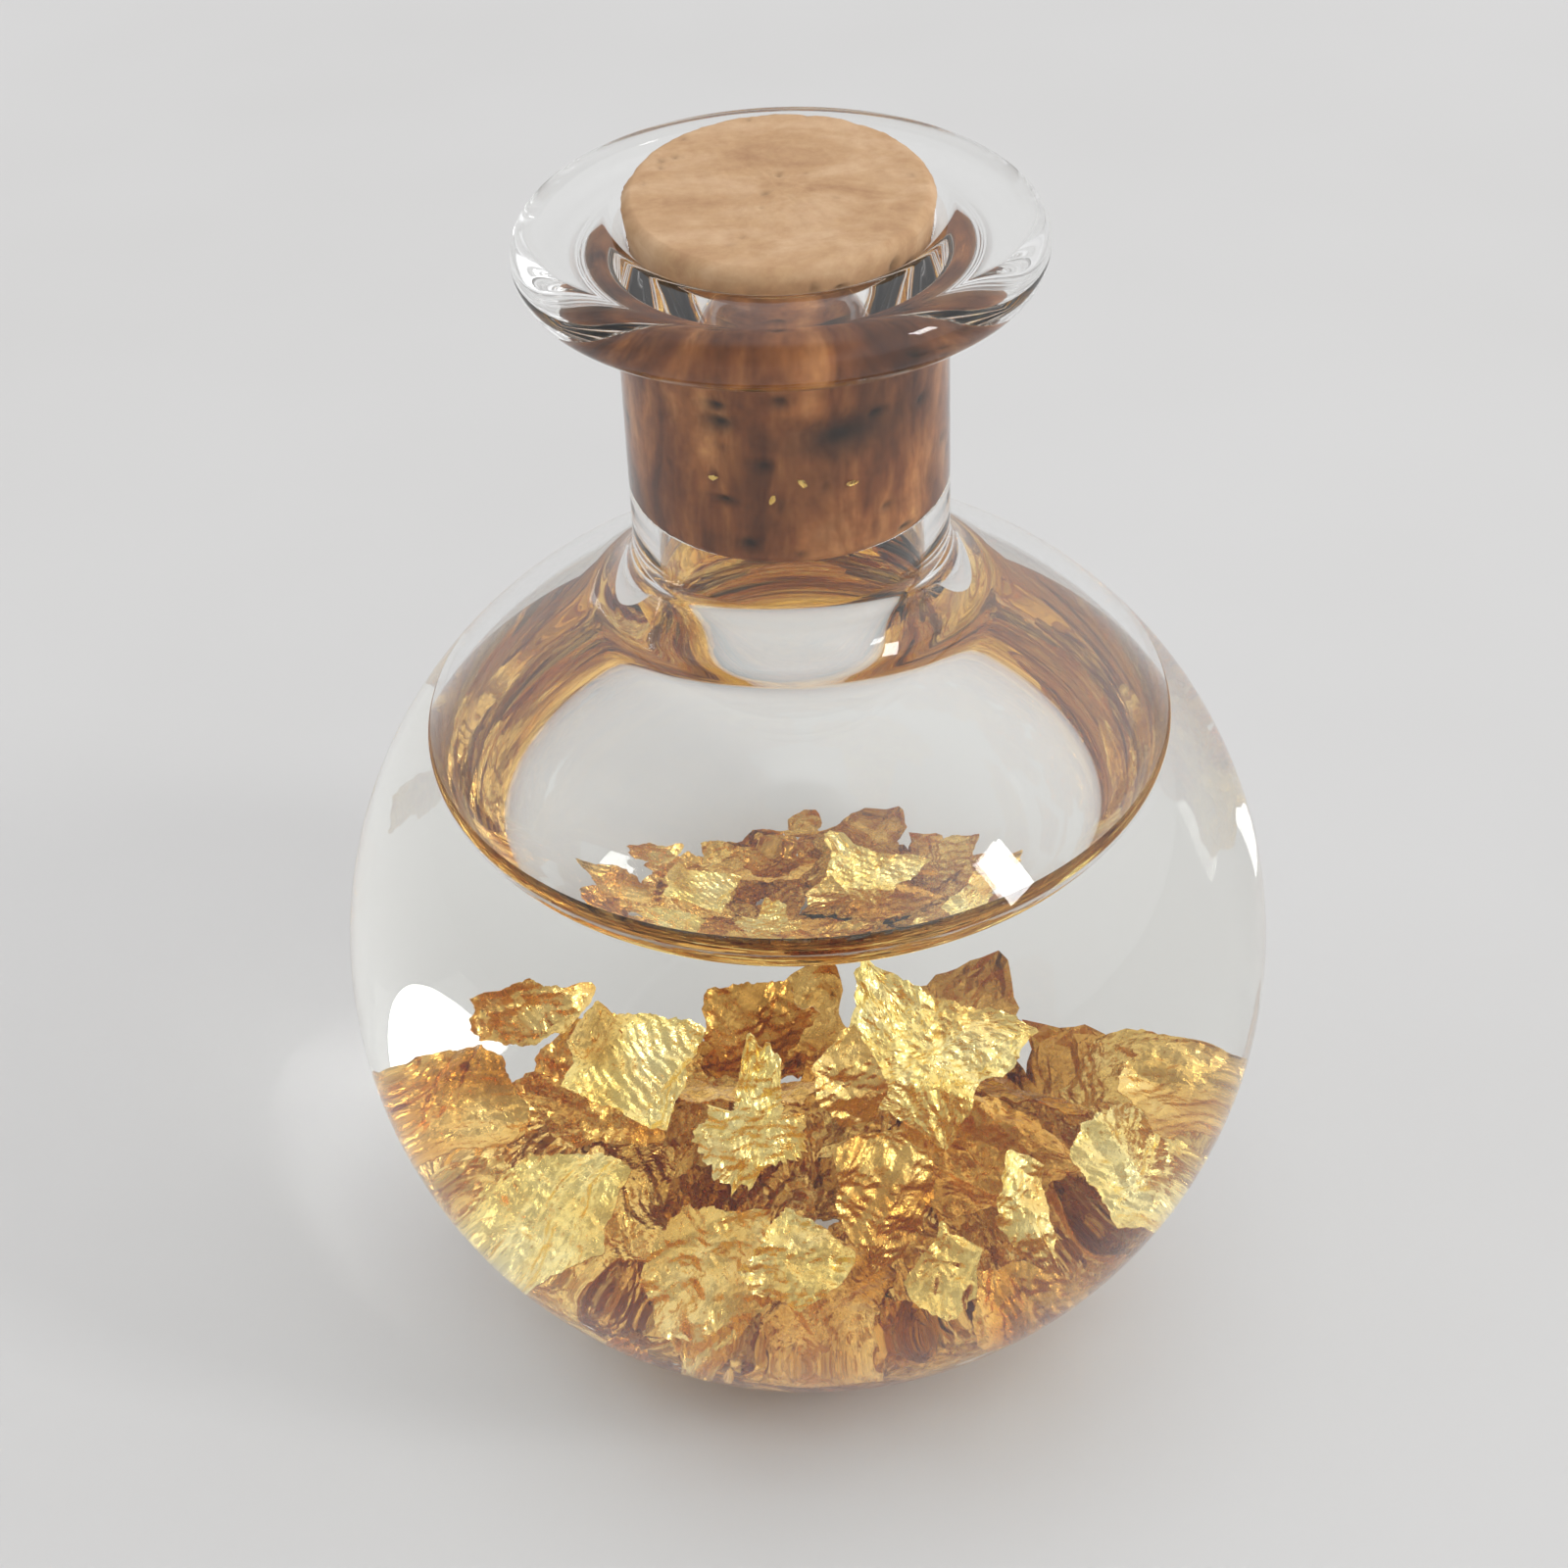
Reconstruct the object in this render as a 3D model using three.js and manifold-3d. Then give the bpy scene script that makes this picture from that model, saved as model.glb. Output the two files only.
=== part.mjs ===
// Gold sample vial: a small blown-glass ball bottle with a flat base, a short neck and a flared lip,
// closed by a tapered cork. Clear liquid fills a little over half of the ball, and loose crinkled
// leaves of gold lie in a heap at the bottom of it.
// Millimetres, +Z up. The origin is the centre of the flat base's underside.

import * as THREE from 'three';
import { mergeVertices } from 'three/addons/utils/BufferGeometryUtils.js';
import Module from 'manifold-3d';

// ---- Driving dimensions ----

const TURN_SEGMENTS = 40; // facets round every turned piece

// glass
const BALL_RADIUS = 12.5;
const BALL_WALL = 0.5;
const BALL_CENTRE_Z = 11.7; // the ball is cut flat this far below its centre
const BASE_EDGE_RADIUS = 0.6;
const FLOOR_THICKNESS = 0.8;
const NECK_RADIUS = 3.95;
const BORE_RADIUS = 3.32;
const OUTER_FILLET_RADIUS = 2.3; // where the neck runs into the ball, outside
const INNER_FILLET_RADIUS = 1.5; // the same, inside
const LIP_RADIUS = 6.3;
const LIP_ROUND_RADIUS = 0.74; // the lip's rounded edge
const LIP_CENTRE_Z = 32.7; // height of that rounded edge
const FLARE_RADIUS = 1.2; // concave sweep from the neck out to the lip
const MOUTH_ROUND_RADIUS = 0.55; // rounded inner edge of the mouth
const MOUTH_DISH = 0.05; // how far the mouth's edge lies below the lip's top

// cork: a straight plug in the neck that widens towards its top, which is cut a little aslant
const CORK_TOP_RADIUS = 3.69;
const CORK_PLUG_RADIUS = 3.12;
const CORK_TOP_Z = 34.3;
const CORK_FLARE_Z = 29.6; // the plug widens above this height
const CORK_BOTTOM_Z = 25.9;
const CORK_EDGE = 0.22; // worn edge at both ends
const CORK_SLANT = 0.5; // how much lower the top's front edge is than its back edge
const CORK_CLEARANCE = 0.06; // between the cork and the bore

// liquid
const LIQUID_LEVEL_Z = 16.0;
const LIQUID_CLEARANCE = 0.12; // between the liquid and the glass
const MENISCUS_HEIGHT = 3.3; // how far the surface climbs the glass
const MENISCUS_WIDTH = 4.6;
const MENISCUS_STEPS = 6;
const MENISCUS_POWER = 2.6; // how sharply it climbs near the glass

// gold leaf
const LEAF_THICKNESS = 0.12;
const LEAF_GAP = 0.06; // kept clear all round a leaf
const LEAF_RINGS = 2;
const LEAF_SECTORS = 12;
const CRUMPLE_HEIGHT = 0.11;
const CRUMPLE_PITCH = 1.5;
const BED_TOP_Z = 9.6; // the leaves lie below this height, and the liquid's own solid above it
const BED_CLEARANCE = 0.2;
const OUTLINE_SQUARENESS = 2.6; // power of the rounded oblong that a leaf is torn to
const TEAR_SIZE = 0.22; // of the half-size, for the slowest wave of the torn outline
const BOWL_CRUMPLE_SHARE = 0.6; // a leaf that lies on the bowl is pressed flatter
const SIZE_SPREAD = 0.25; // how much a leaf on the bowl may be smaller or larger
const SETTLE_STEP = 0.08; // how far apart the places are that a leaf tries
const SETTLE_STEPS = 1200;
const SETTLE_HEIGHTS = 41; // different heights in one round of tries
const SETTLE_STRIDE = 7;
const SPECK_THICKNESS = 0.09;

const GLASS = { color: 0xe9eeea, roughness: 0.03, metalness: 0, transparent: true, opacity: 0.3 };
const LIQUID = { color: 0xf3f2e6, roughness: 0.02, metalness: 0, transparent: true, opacity: 0.35 };
const CORK = { color: 0xc79b70, roughness: 0.85, metalness: 0 };
const GOLD = { color: 0xe0b453, roughness: 0.32, metalness: 1 };

// Leaves that stand or lean in the heap. "at" is the middle of the leaf from the ball's centre.
// "look" is the compass angle that its face turns to (0 = -Y, 90 = +X), "rise" is the angle of its
// face above the horizon, and "turn" is the angle of its long axis from level.
const HEAPED_LEAVES = [
  { at: [-3.3, 2.4, -5.0], look: -10, rise: 50, turn: -20, length: 4.3, width: 2.1 },
  { at: [2.2, 3.5, -6.0], look: 10, rise: 45, turn: -17, length: 3.6, width: 2.5 },
  { at: [-0.8, 4.4, -6.0], look: 0, rise: 22, turn: 80, length: 2.3, width: 2.0 },
  { at: [-1.1, 0.2, -4.9], look: -15, rise: 20, turn: 85, length: 4.4, width: 2.2 },
  { at: [0.7, 2.1, -5.7], look: 20, rise: 12, turn: 90, length: 2.1, width: 1.5 },
  { at: [-0.6, -0.8, -7.0], look: -10, rise: 35, turn: 112, length: 2.6, width: 1.7 },
  { at: [-2.2, -0.1, -7.6], look: -20, rise: 32, turn: 115, length: 3.0, width: 2.4 },
  { at: [-4.9, 1.0, -7.2], look: -30, rise: 52, turn: 17, length: 3.2, width: 1.9 },
  { at: [0.7, -0.3, -6.6], look: 15, rise: 20, turn: 82, length: 2.8, width: 1.7 },
  { at: [2.0, -0.7, -7.5], look: 5, rise: 40, turn: 15, length: 1.9, width: 1.5 },
  { at: [5.6, 1.1, -6.9], look: 40, rise: 50, turn: 35, length: 3.2, width: 2.5 },
  { at: [6.5, 2.7, -6.2], look: 45, rise: 62, turn: -8, length: 3.1, width: 1.5 },
  { at: [-6.5, 2.9, -6.0], look: -40, rise: 52, turn: -10, length: 3.2, width: 1.9 },
  { at: [-1.9, -4.9, -9.4], look: 180, rise: 68, turn: 0, length: 4.2, width: 2.0 },
  { at: [2.4, -4.4, -9.4], look: 205, rise: 66, turn: -8, length: 4.4, width: 1.9 },
  { at: [3.9, -0.5, -6.6], look: 20, rise: 22, turn: 108, length: 2.6, width: 0.9 },
  { at: [3.2, 2.4, -7.6], look: 10, rise: 58, turn: 0, length: 3.2, width: 2.2 },
  { at: [-6.0, 2.4, -7.6], look: -32, rise: 45, turn: 12, length: 1.9, width: 1.5 },
  { at: [-4.4, -1.6, -8.7], look: -150, rise: 60, turn: 20, length: 2.8, width: 1.7 },
  { at: [3.6, -1.2, -8.0], look: 18, rise: 34, turn: 70, length: 2.4, width: 1.9 },
  { at: [-3.6, 3.9, -6.9], look: -10, rise: 38, turn: -20, length: 2.6, width: 1.8 },
  { at: [-1.2, 5.6, -8.4], look: 175, rise: 60, turn: 20, length: 3.4, width: 2.2 },
  { at: [3.4, 5.2, -8.2], look: 150, rise: 60, turn: -25, length: 3.2, width: 2.2 },
  { at: [-5.0, 4.6, -5.6], look: -12, rise: 30, turn: 20, length: 1.9, width: 1.1 },
];

// Leaves that lie on the bowl, in layers.
const BOWL_LAYERS = [
  { count: 12, fromCentre: 11.4, aboveFloor: 0.5, tilt: 4, start: 4 },
  { count: 8, fromCentre: 10.6, aboveFloor: 1.2, tilt: 14, start: 14 },
];
const BOWL_SPREAD = 47; // degrees from straight down that the layers reach
const BOWL_LEAF = { length: 3.6, width: 2.4 };

const SPECKS = [
  { around: -31, height: 28.2 },
  { around: -7, height: 27.8 },
  { around: 5, height: 28.2 },
  { around: 25, height: 28.0 },
  { around: 205, height: 28.4 },
];
const SPECK = { length: 0.42, width: 0.26, outFromCork: 0.1 };

const SPECK_TURN = { first: 20, step: 50 }; // degrees that the specks' long sides are turned
const SEED_STRIDE = 101; // between the random seeds of two leaves
const BOWL_SEED_STRIDE = 977;
const SPECK_SEED = 7000;

const GOLDEN_ANGLE = Math.PI * (3 - Math.sqrt(5));
const DOWN = new THREE.Vector3(0, 0, -1);
const UP = new THREE.Vector3(0, 0, 1);

const wasm = await Module();
wasm.setup();

// ---- Helpers ----

function makeRandom(seed) {
  let state = seed >>> 0;
  return () => {
    state = (Math.imul(state, 1664525) + 1013904223) >>> 0;
    return state / 4294967296;
  };
}

function piece(name, geometry, look) {
  const mesh = new THREE.Mesh(geometry, new THREE.MeshStandardMaterial(look));
  mesh.name = name;
  return mesh;
}

// Points on an arc of a profile, from one angle to another in degrees, both ends included.
function arc(centreR, centreZ, radius, from, to, steps) {
  const points = [];
  for (let i = 0; i <= steps; i += 1) {
    const angle = THREE.MathUtils.degToRad(from + ((to - from) * i) / steps);
    points.push(new THREE.Vector2(centreR + radius * Math.cos(angle), centreZ + radius * Math.sin(angle)));
  }
  return points;
}

// A turned solid about +Z. Its profile goes from the axis, round the outside, back to the axis.
function turned(profile) {
  const geometry = new THREE.LatheGeometry(profile, TURN_SEGMENTS);
  geometry.rotateX(Math.PI / 2);
  return geometry;
}

function degrees(z, r) {
  return THREE.MathUtils.radToDeg(Math.atan2(z, r));
}

// ---- Glass ----

// The concave fillet between a neck of one radius and a ball of another, in the ball's own frame.
function neckFillet(neckRadius, ballRadius, filletRadius) {
  const r = neckRadius + filletRadius;
  const z = Math.sqrt((ballRadius + filletRadius) ** 2 - r ** 2);
  return { r, z, angle: degrees(z, r) };
}

function ballOutside() {
  const fillet = neckFillet(NECK_RADIUS, BALL_RADIUS, OUTER_FILLET_RADIUS);
  const edgeZ = BASE_EDGE_RADIUS;
  const below = BALL_CENTRE_Z - edgeZ;
  const edgeR = Math.sqrt((BALL_RADIUS - BASE_EDGE_RADIUS) ** 2 - below ** 2);
  const meets = degrees(-below, edgeR);
  return [
    new THREE.Vector2(0, 0),
    ...arc(edgeR, edgeZ, BASE_EDGE_RADIUS, -90, meets, 2),
    ...arc(0, BALL_CENTRE_Z, BALL_RADIUS, meets, fillet.angle, 14).slice(1),
    ...arc(fillet.r, BALL_CENTRE_Z + fillet.z, OUTER_FILLET_RADIUS, 180 + fillet.angle, 180, 4).slice(1),
  ];
}

function lipOutside() {
  const sweepTopZ = LIP_CENTRE_Z - LIP_ROUND_RADIUS;
  const edgeR = LIP_RADIUS - LIP_ROUND_RADIUS;
  const mouthR = boreRadiusAt(LIP_CENTRE_Z) + MOUTH_ROUND_RADIUS;
  const mouthZ = LIP_CENTRE_Z + LIP_ROUND_RADIUS - MOUTH_DISH - MOUTH_ROUND_RADIUS;
  return [
    ...arc(NECK_RADIUS + FLARE_RADIUS, sweepTopZ - FLARE_RADIUS, FLARE_RADIUS, 180, 90, 4),
    ...arc(edgeR, LIP_CENTRE_Z, LIP_ROUND_RADIUS, -90, 90, 8),
    ...arc(mouthR, mouthZ, MOUTH_ROUND_RADIUS, 90, 180, 4),
  ];
}

// The cork's radius at a height, and the bore's, which opens towards the mouth as the cork does.
const CORK_TAPER = (CORK_TOP_RADIUS - CORK_PLUG_RADIUS) / (CORK_TOP_Z - CORK_FLARE_Z);

function corkRadiusAt(z) {
  return CORK_PLUG_RADIUS + CORK_TAPER * Math.max(0, z - CORK_FLARE_Z);
}

function boreRadiusAt(z) {
  return Math.max(BORE_RADIUS, corkRadiusAt(z) + CORK_CLEARANCE);
}

function ballInside() {
  const inner = BALL_RADIUS - BALL_WALL;
  const fillet = neckFillet(BORE_RADIUS, inner, INNER_FILLET_RADIUS);
  const straightTopZ = CORK_FLARE_Z + (BORE_RADIUS - CORK_CLEARANCE - CORK_PLUG_RADIUS) / CORK_TAPER;
  const floorBelow = BALL_CENTRE_Z - FLOOR_THICKNESS;
  const floorR = Math.sqrt(inner ** 2 - floorBelow ** 2);
  return [
    new THREE.Vector2(BORE_RADIUS, straightTopZ),
    ...arc(fillet.r, BALL_CENTRE_Z + fillet.z, INNER_FILLET_RADIUS, 180, 180 + fillet.angle, 4),
    ...arc(0, BALL_CENTRE_Z, inner, fillet.angle, degrees(-floorBelow, floorR), 14).slice(1),
    new THREE.Vector2(0, FLOOR_THICKNESS),
  ];
}

function glassBottle() {
  return piece('glass_bottle', turned([...ballOutside(), ...lipOutside(), ...ballInside()]), GLASS);
}

// ---- Cork ----

function corkStopper() {
  const shoulderZ = CORK_TOP_Z - CORK_EDGE;
  const profile = [
    new THREE.Vector2(0, CORK_BOTTOM_Z),
    new THREE.Vector2(CORK_PLUG_RADIUS - CORK_EDGE, CORK_BOTTOM_Z),
    new THREE.Vector2(CORK_PLUG_RADIUS, CORK_BOTTOM_Z + CORK_EDGE),
    new THREE.Vector2(CORK_PLUG_RADIUS, CORK_FLARE_Z),
    new THREE.Vector2(corkRadiusAt(shoulderZ), shoulderZ),
    new THREE.Vector2(CORK_TOP_RADIUS - CORK_EDGE, CORK_TOP_Z),
    new THREE.Vector2(0, CORK_TOP_Z),
  ];
  const geometry = turned(profile);
  slantTop(geometry, shoulderZ);
  return piece('cork_stopper', geometry, CORK);
}

// Lowers every point at or above a height by the slant of the cork's cut top.
function slantTop(geometry, fromZ) {
  const points = geometry.attributes.position;
  const tolerance = CORK_EDGE / 2;
  for (let i = 0; i < points.count; i += 1) {
    if (points.getZ(i) > fromZ - tolerance) {
      const towardsFront = (1 - points.getY(i) / CORK_TOP_RADIUS) / 2;
      points.setZ(i, points.getZ(i) - CORK_SLANT * towardsFront);
    }
  }
  geometry.computeVertexNormals();
}

// ---- Liquid ----

// The clear liquid above the heap: a flat underside, the ball's curve, and a surface that climbs the
// glass a little at its rim.
function liquidFill() {
  const radius = BALL_RADIUS - BALL_WALL - LIQUID_CLEARANCE;
  const bottom = BED_TOP_Z - BALL_CENTRE_Z;
  const top = LIQUID_LEVEL_Z + MENISCUS_HEIGHT - BALL_CENTRE_Z;
  const bottomR = Math.sqrt(radius ** 2 - bottom ** 2);
  const topR = Math.sqrt(radius ** 2 - top ** 2);
  const profile = [
    new THREE.Vector2(0, BED_TOP_Z),
    ...arc(0, BALL_CENTRE_Z, radius, degrees(bottom, bottomR), degrees(top, topR), 8),
    ...meniscus(topR),
    new THREE.Vector2(0, LIQUID_LEVEL_Z),
  ];
  return piece('liquid_fill', turned(profile), LIQUID);
}

// The hollow curve from the rim of the surface down to its level middle.
function meniscus(rimR) {
  const points = [];
  for (let i = 1; i <= MENISCUS_STEPS; i += 1) {
    const inward = i / MENISCUS_STEPS;
    const climb = MENISCUS_HEIGHT * (1 - inward) ** MENISCUS_POWER;
    points.push(new THREE.Vector2(rimR - MENISCUS_WIDTH * inward, LIQUID_LEVEL_Z + climb));
  }
  return points;
}

// ---- Gold leaf ----

// Half-size of a leaf's torn outline in one direction: a squarish ellipse with uneven waves.
function outlineRadius(angle, size, waves) {
  const across = Math.abs(Math.cos(angle) / (size.length / 2)) ** OUTLINE_SQUARENESS;
  const along = Math.abs(Math.sin(angle) / (size.width / 2)) ** OUTLINE_SQUARENESS;
  const plain = (across + along) ** (-1 / OUTLINE_SQUARENESS);
  const tear = waves.reduce((sum, w) => sum + w.size * Math.cos(w.turns * angle + w.phase), 1);
  return plain * tear;
}

// A closed, thin, crumpled leaf lying in its own XY plane, facing +Z. One that lies on a bowl curls
// with it.
function leafGeometry(size, thickness, seed) {
  const random = makeRandom(seed);
  const waves = [2, 3, 5, 7].map((turns) => ({
    turns,
    size: TEAR_SIZE / turns,
    phase: random() * 2 * Math.PI,
  }));
  const folds = [0, 1, 2].map(() => ({ way: random() * Math.PI, phase: random() * 2 * Math.PI }));
  const curl = size.bowl ? 1 / (2 * size.bowl) : 0;
  const crumple = CRUMPLE_HEIGHT * Math.min(1, size.width) * (size.bowl ? BOWL_CRUMPLE_SHARE : 1);
  const height = (x, y) =>
    folds.reduce((sum, fold) => {
      const along = x * Math.cos(fold.way) + y * Math.sin(fold.way);
      return sum + crumple * Math.sin((along / CRUMPLE_PITCH) * 2 * Math.PI + fold.phase);
    }, curl * (x * x + y * y));

  const flat = [[0, 0]];
  for (let ring = 1; ring <= LEAF_RINGS; ring += 1) {
    for (let s = 0; s < LEAF_SECTORS; s += 1) {
      const angle = (s / LEAF_SECTORS) * 2 * Math.PI;
      const r = (outlineRadius(angle, size, waves) * ring) / LEAF_RINGS;
      flat.push([r * Math.cos(angle), r * Math.sin(angle)]);
    }
  }
  const sides = [-thickness / 2, thickness / 2];
  const positions = sides.flatMap((lift) => flat.flatMap(([x, y]) => [x, y, height(x, y) + lift]));
  const geometry = new THREE.BufferGeometry();
  geometry.setAttribute('position', new THREE.Float32BufferAttribute(positions, 3));
  geometry.setIndex(leafTriangles(flat.length));
  geometry.computeVertexNormals();
  return geometry;
}

// Triangles of both faces and the rim, for rings of points round a middle point.
function leafTriangles(pointsPerSide) {
  const at = (ring, sector) => 1 + (ring - 1) * LEAF_SECTORS + (sector % LEAF_SECTORS);
  const triangles = [];
  const bothSides = (a, b, c) => {
    triangles.push(a, c, b);
    triangles.push(a + pointsPerSide, b + pointsPerSide, c + pointsPerSide);
  };
  for (let s = 0; s < LEAF_SECTORS; s += 1) {
    bothSides(0, at(1, s), at(1, s + 1));
    for (let ring = 1; ring < LEAF_RINGS; ring += 1) {
      bothSides(at(ring, s), at(ring + 1, s), at(ring + 1, s + 1));
      bothSides(at(ring, s), at(ring + 1, s + 1), at(ring, s + 1));
    }
    const low = at(LEAF_RINGS, s);
    const next = at(LEAF_RINGS, s + 1);
    triangles.push(low, next, next + pointsPerSide);
    triangles.push(low, next + pointsPerSide, low + pointsPerSide);
  }
  return triangles;
}

// Turns a leaf so that its face looks along a compass angle and rises above the horizon.
function leafTurn(look, rise, turn) {
  const [a, e, t] = [look, rise, turn].map(THREE.MathUtils.degToRad);
  const facing = new THREE.Vector3(Math.sin(a) * Math.cos(e), -Math.cos(a) * Math.cos(e), Math.sin(e));
  const level = new THREE.Vector3().crossVectors(UP, facing).normalize();
  const rising = new THREE.Vector3().crossVectors(facing, level);
  const long = level.clone().multiplyScalar(Math.cos(t)).addScaledVector(rising, Math.sin(t));
  const wide = new THREE.Vector3().crossVectors(facing, long);
  return new THREE.Quaternion().setFromRotationMatrix(new THREE.Matrix4().makeBasis(long, wide, facing));
}

function toManifold(geometry) {
  const bare = geometry.clone();
  bare.deleteAttribute('normal');
  const merged = mergeVertices(bare);
  return new wasm.Manifold(
    new wasm.Mesh({
      numProp: 3,
      vertProperties: new Float32Array(merged.attributes.position.array),
      triVerts: new Uint32Array(merged.index.array),
    }),
  );
}

// The space that a leaf keeps to itself, as a manifold and its box, from the ball's centre.
function claimOf(leaf) {
  leaf.updateMatrix();
  const room = leafGeometry(leaf.userData.size, LEAF_THICKNESS + 2 * LEAF_GAP, leaf.userData.seed);
  room.applyMatrix4(leaf.matrix);
  room.computeBoundingBox();
  return { box: room.boundingBox, solid: toManifold(room), points: room.attributes.position };
}

function insideBed(points) {
  const bowl = BALL_RADIUS - BALL_WALL - LIQUID_CLEARANCE;
  const floor = FLOOR_THICKNESS + LIQUID_CLEARANCE - BALL_CENTRE_Z;
  const top = BED_TOP_Z - BED_CLEARANCE - BALL_CENTRE_Z;
  const point = new THREE.Vector3();
  for (let i = 0; i < points.count; i += 1) {
    point.fromBufferAttribute(points, i);
    if (point.length() > bowl || point.z < floor || point.z > top) return false;
  }
  return true;
}

function meets(claim, others) {
  return others.some(
    (other) => claim.box.intersectsBox(other.box) && claim.solid.intersect(other.solid).volume() > 0,
  );
}

// Moves a leaf outwards from its wanted place, in small steps in all directions, to the first place
// where it is in the bed and touches no other leaf.
function settle(leaf, settled) {
  const wanted = leaf.position.clone();
  for (let step = 0; step < SETTLE_STEPS; step += 1) {
    const rung = (step * SETTLE_STRIDE) % SETTLE_HEIGHTS;
    const z = 1 - (2 * rung) / (SETTLE_HEIGHTS - 1);
    const r = Math.sqrt(1 - z * z);
    const around = step * GOLDEN_ANGLE;
    const way = new THREE.Vector3(r * Math.cos(around), r * Math.sin(around), z);
    leaf.position.copy(wanted).addScaledVector(way, SETTLE_STEP * Math.sqrt(step));
    const claim = claimOf(leaf);
    if (insideBed(claim.points) && !meets(claim, settled)) {
      settled.push(claim);
      return leaf;
    }
  }
  throw new Error(`${leaf.name} finds no room`);
}

function numbered(name, number) {
  return `${name}_${String(number).padStart(2, '0')}`;
}

function makeLeaf(number, size) {
  const seed = number * SEED_STRIDE;
  const leaf = piece(numbered('gold_flake', number), leafGeometry(size, LEAF_THICKNESS, seed), GOLD);
  leaf.userData = { size, seed };
  return leaf;
}

function heapedLeaf(place, number) {
  const leaf = makeLeaf(number, { length: place.length, width: place.width });
  leaf.position.set(...place.at);
  leaf.quaternion.copy(leafTurn(place.look, place.rise, place.turn));
  return leaf;
}

// A leaf lying on the bowl: its back is to the glass, a spiral spaces the leaves evenly.
function bowlLeaf(layer, index, number) {
  const random = makeRandom(number * BOWL_SEED_STRIDE);
  const share = (index + 0.5) / layer.count;
  const reach = THREE.MathUtils.degToRad(BOWL_SPREAD);
  const down = Math.acos(1 - share * (1 - Math.cos(reach)));
  const around = index * GOLDEN_ANGLE + layer.start;
  const sideways = Math.sin(down);
  const out = new THREE.Vector3(sideways * Math.cos(around), sideways * Math.sin(around), -Math.cos(down));
  const anySize = () => 1 + SIZE_SPREAD * (2 * random() - 1);
  const size = {
    length: BOWL_LEAF.length * anySize(),
    width: BOWL_LEAF.width * anySize(),
    bowl: layer.fromCentre,
  };
  const leaf = makeLeaf(number, size);
  const lying = new THREE.Quaternion().setFromUnitVectors(DOWN, out);
  const spun = new THREE.Quaternion().setFromAxisAngle(UP, random() * Math.PI);
  const tipped = new THREE.Quaternion().setFromAxisAngle(
    new THREE.Vector3(1, 0, 0),
    THREE.MathUtils.degToRad(layer.tilt * (2 * random() - 1)),
  );
  leaf.quaternion.copy(lying).multiply(tipped).multiply(spun);
  leaf.position.copy(out).multiplyScalar(layer.fromCentre);
  leaf.position.z = Math.max(leaf.position.z, FLOOR_THICKNESS - BALL_CENTRE_Z + layer.aboveFloor);
  return leaf;
}

function goldHeap() {
  const heap = new THREE.Group();
  heap.position.z = BALL_CENTRE_Z;
  const settled = [];
  let number = 0;
  for (const place of HEAPED_LEAVES) {
    number += 1;
    heap.add(settle(heapedLeaf(place, number), settled));
  }
  for (const layer of BOWL_LAYERS) {
    for (let index = 0; index < layer.count; index += 1) {
      number += 1;
      heap.add(settle(bowlLeaf(layer, index, number), settled));
    }
  }
  return heap;
}

// Crumbs of leaf that cling low on the cork's side.
function speck(place, index) {
  const geometry = leafGeometry(SPECK, SPECK_THICKNESS, SPECK_SEED + index);
  const mesh = piece(numbered('gold_speck', index + 1), geometry, GOLD);
  const around = THREE.MathUtils.degToRad(place.around);
  const out = corkRadiusAt(place.height) + SPECK.outFromCork;
  mesh.position.set(out * Math.sin(around), -out * Math.cos(around), place.height);
  mesh.quaternion.copy(leafTurn(place.around, 0, SPECK_TURN.first + SPECK_TURN.step * index));
  return mesh;
}

// ---- The vial ----

const vial = new THREE.Group();
vial.add(glassBottle());

const stopper = new THREE.Group();
stopper.add(corkStopper(), ...SPECKS.map(speck));
vial.add(stopper);

const contents = new THREE.Group();
contents.add(liquidFill(), goldHeap());
vial.add(contents);

export default vial;
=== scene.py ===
"""Gold sample vial: the looks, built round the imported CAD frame. Metres, +Z up."""

import math

import bpy
import numpy as np
from mathutils import Matrix, Vector


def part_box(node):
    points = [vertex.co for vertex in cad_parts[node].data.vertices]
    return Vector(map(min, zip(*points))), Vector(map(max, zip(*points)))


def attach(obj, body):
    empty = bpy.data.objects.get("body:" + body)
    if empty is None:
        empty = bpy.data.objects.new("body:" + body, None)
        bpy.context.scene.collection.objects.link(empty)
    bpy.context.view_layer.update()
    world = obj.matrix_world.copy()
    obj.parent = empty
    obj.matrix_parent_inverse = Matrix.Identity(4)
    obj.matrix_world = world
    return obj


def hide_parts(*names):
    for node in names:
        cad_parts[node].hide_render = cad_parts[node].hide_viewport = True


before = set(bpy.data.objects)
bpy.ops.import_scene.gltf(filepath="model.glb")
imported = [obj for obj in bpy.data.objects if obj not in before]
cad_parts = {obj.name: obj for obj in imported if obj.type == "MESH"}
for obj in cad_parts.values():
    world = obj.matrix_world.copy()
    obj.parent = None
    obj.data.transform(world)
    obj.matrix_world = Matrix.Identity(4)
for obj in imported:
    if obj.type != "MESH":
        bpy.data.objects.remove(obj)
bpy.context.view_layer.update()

MM = 0.001

# ---- Driving dimensions, from the frame where it holds them ----

_, GLASS_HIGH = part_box("glass_bottle")
CORK_LOW, CORK_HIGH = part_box("cork_stopper")
_, LIQUID_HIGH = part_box("liquid_fill")

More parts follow.
